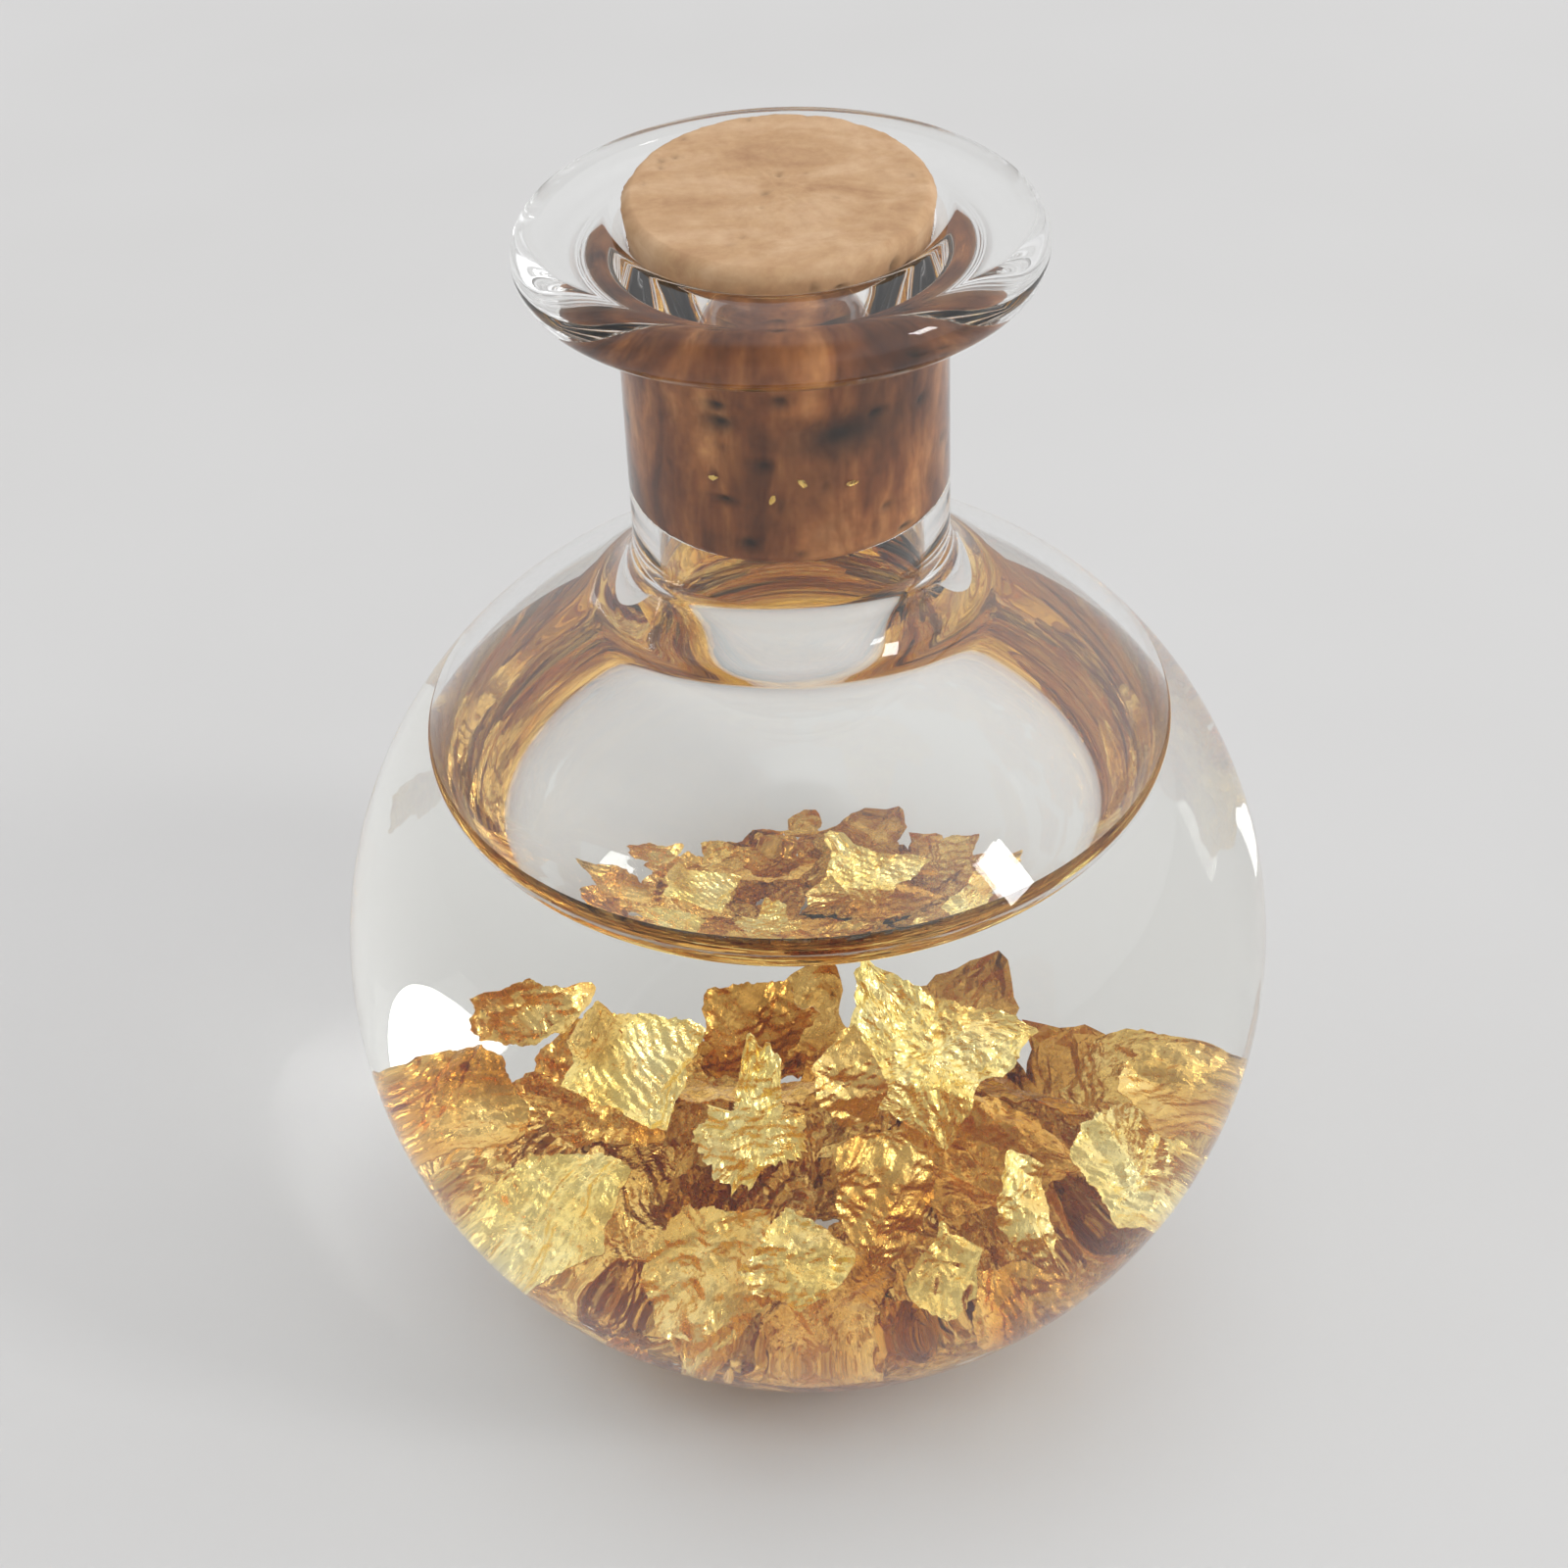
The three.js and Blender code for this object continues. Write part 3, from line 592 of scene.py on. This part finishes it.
def gold_bed(material):
    """Broken leaf that lies on the glass under the heap."""
    random = np.random.default_rng(BED_SEED)
    angles = np.arange(BED_SECTORS) / BED_SECTORS * 2 * math.pi - math.pi
    faces, all_points, leaf_shades = foil_faces(BED_RINGS, BED_SECTORS), [], []
    golden = math.pi * (3 - math.sqrt(5))
    for i in range(BED_LEAVES):
        around = i * golden
        front = max(0.0, -math.sin(around))
        edge_angle = BED_BACK_ANGLE + (BED_FRONT_ANGLE - BED_BACK_ANGLE) * front**BED_FRONT_POWER
        reach_down = math.radians(edge_angle)
        down = math.acos(1 - (i + 0.5) / BED_LEAVES * (1 - math.cos(reach_down)))
        level = math.sin(down)
        out = np.array((level * math.cos(around), level * math.sin(around), -math.cos(down)))
        ways = np.linalg.qr(np.stack([out, *random.normal(size=(2, 3))], 1))[0].T[[1, 2, 0]]
        ways[2] = out
        ways[1] = np.cross(ways[2], ways[0])
        size = random.uniform(*BED_LEAF_SIZES) * MM
        plain = size * (1 + BED_LEAF_OVAL * np.cos(2 * angles + random.uniform(0, 6.3)))
        reach = torn_outline(plain, angles, random)
        depth = INNER_RADIUS - random.uniform(*BED_LEAF_DEPTHS) * MM
        above_floor = BALL_CENTRE_Z - FLOOR_THICKNESS - BED_MIDDLE_ABOVE_FLOOR
        depth = min(depth, above_floor / max(-out[2], 0.1))

        def bend(x, y, depth=depth):
            return -(x * x + y * y) / (2 * depth)

        points = foil_points(reach, angles, BED_RINGS, bend, random)
        placed = (0, 0, BALL_CENTRE_Z) + out * depth + points @ ways
        flat = placed - (0, 0, BALL_CENTRE_Z)
        far = np.linalg.norm(flat, axis=1)
        most = INNER_RADIUS - 2 * LIQUID_INSET - BED_GAP
        flat *= np.minimum(1, most / far)[:, None]
        flat[:, 2] = np.maximum(flat[:, 2], FLOOR_THICKNESS + BED_ABOVE_FLOOR - BALL_CENTRE_Z)
        all_points.append(flat + (0, 0, BALL_CENTRE_Z))
        # each bed leaf gets a deep painted shade, for the shade under the heap
        leaf_shades.append(np.full(len(points), random.uniform(*BED_SHADES)))
    per_leaf = len(all_points[0])
    every_face = [tuple(v + k * per_leaf for v in face) for k in range(BED_LEAVES) for face in faces]
    points = np.concatenate(all_points)
    piece = new_piece("gold_leaf_bed", points, every_face, "contents", [material], smooth=False)
    add_leaf_shade(piece, np.concatenate(leaf_shades))


# ---- Materials ----


class Paint:
    """A short way to write a node material."""

    def __init__(self, name):
        self.material = bpy.data.materials.new(name)
        self.material.use_nodes = True
        self.nodes = self.material.node_tree.nodes
        self.links = self.material.node_tree.links
        self.shader = self.nodes["Principled BSDF"]

    def node(self, kind, inputs=(), **settings):
        made = self.nodes.new(kind)
        for key, value in settings.items():
            setattr(made, key, value)
        for key, value in dict(inputs).items():
            if isinstance(value, bpy.types.NodeSocket):
                self.links.new(value, made.inputs[key])
            else:
                made.inputs[key].default_value = value
        return made

    def set(self, **values):
        for key, value in values.items():
            socket = self.shader.inputs[key.replace("_", " ")]
            if isinstance(value, bpy.types.NodeSocket):
                self.links.new(value, socket)
            else:
                socket.default_value = value

    def noise(self, vector, scale, detail=4.0, roughness=0.6, distortion=0.0):
        inputs = {"Vector": vector, "Scale": scale, "Detail": detail}
        inputs |= {"Roughness": roughness, "Distortion": distortion}
        return self.node("ShaderNodeTexNoise", inputs).outputs["Fac"]

    def cells(self, vector, scale):
        return self.node("ShaderNodeTexVoronoi", {"Vector": vector, "Scale": scale}).outputs["Distance"]

    def ranged(self, value, **limits):
        inputs = {"Value": value} | {key.replace("_", " "): number for key, number in limits.items()}
        return self.node("ShaderNodeMapRange", inputs).outputs[0]

    def bump(self, height, strength, distance, **normal):
        inputs = {"Height": height, "Strength": strength, "Distance": distance} | normal
        return self.node("ShaderNodeBump", inputs).outputs[0]

    def ramp(self, factor, stops):
        node = self.node("ShaderNodeValToRGB", {"Fac": factor})
        ramp = node.color_ramp
        while len(ramp.elements) < len(stops):
            ramp.elements.new(0.5)
        for element, (place, colour) in zip(ramp.elements, stops):
            element.position = place
            element.color = (*colour, 1)
        return node.outputs["Color"]

    def mix(self, factor, a, b, blend="MIX"):
        node = self.node("ShaderNodeMix", data_type="RGBA", blend_type=blend)
        for socket, value in zip((node.inputs[0], node.inputs[6], node.inputs[7]), (factor, a, b)):
            if isinstance(value, bpy.types.NodeSocket):
                self.links.new(value, socket)
            else:
                socket.default_value = (*value, 1) if isinstance(value, tuple) else value
        return node.outputs[2]

    def place(self):
        return self.node("ShaderNodeTexCoord").outputs["Object"]


def glass_paint(name, ior, colour, alpha=1.0):
    paint = Paint(name)
    paint.set(Base_Color=(*colour, 1), Transmission_Weight=1.0, Roughness=0.0, IOR=ior, Alpha=alpha)
    return paint.material


def gold_paint():
    """Bright yellow foil; a leaf's painted shade runs from 0, pale and bright as if lit, to 1, deep amber
    brown as if in shade and mirroring darker things.
    """
    paint = Paint("crinkled_gold_leaf")
    place = paint.place()
    broad = paint.noise(place, 700, 5, 0.6, 0.4)
    fine = paint.noise(place, 6000, 6, 0.7)
    yellows = [(0.3, (0.94, 0.63, 0.15)), (0.5, (1.0, 0.79, 0.27)), (0.7, (1.0, 0.89, 0.44))]
    bright = paint.ramp(broad, yellows)
    # painted shade: these deep amber browns stand in for shaded leaves and dark reflections in the foil
    shaded_browns = [(0.3, (0.34, 0.105, 0.008)), (0.5, (0.60, 0.24, 0.022)), (0.72, (0.86, 0.46, 0.07))]
    shaded_gold = paint.ramp(broad, shaded_browns)
    leaf_shade = paint.node("ShaderNodeAttribute", attribute_name="leaf_shade").outputs["Fac"]
    dots = [(0.28, (0.7, 0.52, 0.3)), (0.38, (1.0, 1.0, 1.0))]
    specks = paint.ramp(paint.noise(place, 9000, 3, 0.6), dots)
    # the leaf's painted shade pulls it towards the browns, and random patches add to it
    patches = paint.noise(place, 520, 3, 0.5)
    shade_and_patches = paint.ranged(patches, From_Min=0.5, From_Max=0.66, To_Max=0.4)
    sum_up = {0: leaf_shade, 1: 0.8, 2: shade_and_patches}
    shade_and_patches = paint.node("ShaderNodeMath", sum_up, operation="MULTIPLY_ADD", use_clamp=True).outputs[0]
    colour = paint.mix(1.0, paint.mix(shade_and_patches, bright, shaded_gold), specks, "MULTIPLY")
    wander = paint.node("ShaderNodeTexNoise", {"Vector": place, "Scale": 5000.0}).outputs["Color"]
    shift = paint.node("ShaderNodeVectorMath", {0: wander, "Scale": 0.12 * MM}, operation="SCALE").outputs[0]
    bent = paint.node("ShaderNodeVectorMath", {0: place, 1: shift}, operation="ADD").outputs[0]
    crinkle = paint.bump(paint.cells(bent, 6500.0), 0.42, 0.04 * MM)
    crinkle = paint.bump(paint.cells(bent, 15000.0), 0.3, 0.016 * MM, Normal=crinkle)
    paint.set(
        Base_Color=colour,
        Metallic=1.0,
        Roughness=paint.ranged(fine, To_Min=0.14, To_Max=0.4),
        Normal=crinkle,
    )
    return paint.material


def cork_paint():
    """Pale dry cork above the lip; dark and streaked from top to bottom in the neck, where it is wet and
    where painted shade stands in for the shade of the neck.
    """
    paint = Paint("natural_cork")
    place = paint.place()
    across = paint.node("ShaderNodeMapping", {"Vector": place, "Scale": (1.0, 1.9, 1.0)}).outputs[0]
    upright = paint.node("ShaderNodeMapping", {"Vector": place, "Scale": (1.0, 1.0, 0.3)}).outputs[0]
    broad = paint.noise(across, 420, 5, 0.62, 0.5)
    grain = paint.noise(place, 2400, 6, 0.72)
    tans = [(0.3, (0.43, 0.26, 0.145)), (0.46, (0.52, 0.335, 0.19)), (0.62, (0.60, 0.41, 0.255))]
    dots = paint.ramp(grain, [(0.3, (0.30, 0.18, 0.12)), (0.65, (0.72, 0.6, 0.47))])
    dry = paint.mix(0.35, paint.ramp(broad, tans), dots, "SOFT_LIGHT")
    streaks = paint.noise(upright, 800, 4, 0.6, 0.3)
    # the dark browns of the cork in the neck are wet cork with painted shade
    dark_browns = [(0.3, (0.07, 0.019, 0.007)), (0.45, (0.21, 0.070, 0.022))]
    light_browns = [(0.56, (0.36, 0.138, 0.042)), (0.7, (0.60, 0.29, 0.11))]
    wet = paint.ramp(streaks, dark_browns + light_browns)
    shades = [(0.36, (0.45, 0.42, 0.40)), (0.6, (1.25, 1.2, 1.15))]
    wet = paint.mix(1.0, wet, paint.ramp(paint.noise(place, 210, 3, 0.5), shades), "MULTIPLY")
    greys = [(0.3, (0.3, 0.3, 0.3)), (0.7, (0.7, 0.7, 0.7))]
    wet = paint.mix(0.5, wet, paint.ramp(grain, greys), "OVERLAY")
    height = paint.node("ShaderNodeSeparateXYZ", {"Vector": place}).outputs["Z"]
    # wetness and painted shade together: dark below the lip, pale and dry above it
    wet_and_shaded_below = LIP_CENTRE_Z - 0.6 * MM
    dry_above = LIP_CENTRE_Z + 0.9 * MM
    wetness_and_shade = paint.ranged(height, From_Min=wet_and_shaded_below, From_Max=dry_above, To_Min=1.0, To_Max=0.0)
    skin = paint.mix(wetness_and_shade, dry, wet)
    pit = paint.node("ShaderNodeAttribute", attribute_name="pit").outputs["Fac"]
    colour = paint.mix(pit, skin, (0.022, 0.012, 0.008))
    paint.set(Base_Color=colour, Roughness=0.85, Normal=paint.bump(grain, 0.2, 0.04 * MM))
    return paint.material


def floor_paint():
    paint = Paint("pale_floor")
    place = paint.place()
    pales = [(0.3, (0.63, 0.625, 0.615)), (0.7, (0.66, 0.657, 0.65))]
    colour = paint.ramp(paint.noise(place, 25, 3), pales)
    paint.set(Base_Color=colour, Roughness=0.6)
    return paint.material


# ---- Stage ----


def make_floor():
    size = FLOOR_HALF_SIZE
    corners = [(-size, -size, 0), (size, -size, 0), (size, size, 0), (-size, size, 0)]
    mesh = bpy.data.meshes.new("floor")
    mesh.from_pydata(corners, [], [(0, 1, 2, 3)])
    floor = bpy.data.objects.new("floor", mesh)
    bpy.context.scene.collection.objects.link(floor)
    mesh.materials.append(floor_paint())


def toward(azimuth, elevation):
    """A direction from the bottle; azimuth is 0 at the front and grows to the right."""
    a, e = math.radians(azimuth), math.radians(elevation)
    return Vector((math.sin(a) * math.cos(e), -math.cos(a) * math.cos(e), math.sin(e)))


def make_window():
    """A small bright window high on the right."""
    lamp = bpy.data.lights.new("window", "AREA")
    lamp.shape = "RECTANGLE"
    lamp.size, lamp.size_y = WINDOW_WIDTH, WINDOW_HEIGHT
    lamp.energy = WINDOW_RADIANCE * math.pi * WINDOW_WIDTH * WINDOW_HEIGHT
    thing = bpy.data.objects.new("window", lamp)
    bpy.context.scene.collection.objects.link(thing)
    way = toward(WINDOW_AZIMUTH, WINDOW_ELEVATION)
    thing.location = Vector((0, 0, BALL_CENTRE_Z)) + way * WINDOW_DISTANCE
    thing.rotation_euler = way.to_track_quat("Z", "Y").to_euler()


def make_world():
    """A pale room: brightest overhead and on the window's side, darker behind the viewer."""
    world = bpy.data.worlds.new("soft_room")
    bpy.context.scene.world = world
    world.use_nodes = True
    tree = world.node_tree

    def node(kind, inputs, **settings):
        made = tree.nodes.new(kind)
        for key, value in settings.items():
            setattr(made, key, value)
        for key, value in inputs.items():
            if isinstance(value, bpy.types.NodeSocket):
                tree.links.new(value, made.inputs[key])
            else:
                made.inputs[key].default_value = value
        return made

    def facing(azimuth, elevation, start, end):
        ways = {0: place, 1: toward(azimuth, elevation)}
        dot = node("ShaderNodeVectorMath", ways, operation="DOT_PRODUCT")
        ranged = {"Value": dot.outputs["Value"], "From Min": start, "From Max": end}
        return node("ShaderNodeMapRange", ranged, interpolation_type="SMOOTHSTEP").outputs[0]

    def blend(factor, a, b):
        mixed = node("ShaderNodeMix", {0: factor}, data_type="RGBA")
        for slot, value in ((6, a), (7, b)):
            if isinstance(value, bpy.types.NodeSocket):
                tree.links.new(value, mixed.inputs[slot])
            else:
                mixed.inputs[slot].default_value = (*value, 1)
        return mixed.outputs[2]

    place = node("ShaderNodeTexCoord", {}).outputs["Generated"]
    room = blend(facing(*OVERHEAD), (0.62, 0.61, 0.60), (0.98, 0.98, 1.0))
    room = blend(facing(*WINDOW_SIDE), room, (1.35, 1.36, 1.38))
    room = blend(facing(*VIEWER_SIDE), room, (0.50, 0.48, 0.46))
    tree.links.new(room, tree.nodes["Background"].inputs["Color"])
    tree.nodes["Background"].inputs["Strength"].default_value = WORLD_STRENGTH


def make_camera():
    camera = bpy.data.objects.new("camera", bpy.data.cameras.new("camera"))
    bpy.context.scene.collection.objects.link(camera)
    back = toward(0, CAMERA_ELEVATION)
    right = Vector((1, 0, 0))
    up = back.cross(right)
    turn = Matrix((right, up, back)).transposed()
    aim = (
        Matrix.Rotation(CAMERA_PITCH, 3, "X")
        @ Matrix.Rotation(CAMERA_YAW, 3, "Y")
        @ Matrix.Rotation(math.radians(-CAMERA_ROLL), 3, "Z")
    )
    place = back * CAMERA_DISTANCE + Vector((0, 0, BALL_CENTRE_Z))
    camera.matrix_world = Matrix.Translation(place) @ (turn @ aim).to_4x4()
    camera.data.lens = CAMERA_LENS
    camera.data.sensor_width = 36
    camera.data.clip_start = 0.001
    bpy.context.scene.camera = camera


def set_light_paths():
    scene = bpy.context.scene
    scene.view_settings.view_transform = "Standard"
    cycles = scene.cycles
    cycles.max_bounces = BOUNCES
    cycles.transmission_bounces = BOUNCES
    cycles.glossy_bounces = BOUNCES
    cycles.diffuse_bounces = 4
    cycles.transparent_max_bounces = 24
    cycles.sample_clamp_indirect = 12
    cycles.blur_glossy = 0.2
    cycles.use_denoising = True


# ---- The scene ----

make_camera()
make_floor()
make_world()
make_window()
set_light_paths()

clear_glass = glass_paint("clear_glass", GLASS_IOR, (0.985, 0.99, 0.98))
# the faint yellow of the wet glass and of the liquid is partly painted reflection of the gold leaf
wet_glass = glass_paint("wet_glass", GLASS_IOR / LIQUID_IOR, (0.985, 0.985, 0.965))
liquid_top = glass_paint("liquid_surface", LIQUID_IOR, (1.0, 1.0, 0.99))
liquid_side = glass_paint("liquid_side", LIQUID_IOR, (1.0, 1.0, 0.99), alpha=0.0)

glass_bottle(clear_glass, wet_glass)
liquid(liquid_top, liquid_side)
cork(cork_paint())

gold = gold_paint()
for node in sorted(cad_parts):
    number = node[-2:]
    if node.startswith("gold_flake"):
        count = int(number)
        # each leaf's painted shade, which darkens its gold towards amber brown
        plain_shade = BRIGHT_LEAF_SHADE if count <= LAST_PLACED_LEAF else ODD_LEAF_SHADE if count % 2 else EVEN_LEAF_SHADE
        leaf_shade = SHADED_LEAVES.get(count, plain_shade)
        spire = SPIRE_HALF_WIDTH if count == SPIRE_LEAF else 0.0
        name, seed = f"gold_leaf_{number}", LEAF_SEED + count
        gold_leaf(name, node, "contents", seed, gold, leaf_shade, LEAF_RINGS, LEAF_SECTORS, spire=spire)
    if node.startswith("gold_speck"):
        name, seed, size = f"gold_crumb_{number}", CRUMB_SEED + int(number), (CRUMB_RINGS, CRUMB_SECTORS)
        gold_leaf(name, node, "stopper", seed, gold, CRUMB_SHADE, *size, scale=CRUMB_SCALE)

gold_bed(gold)
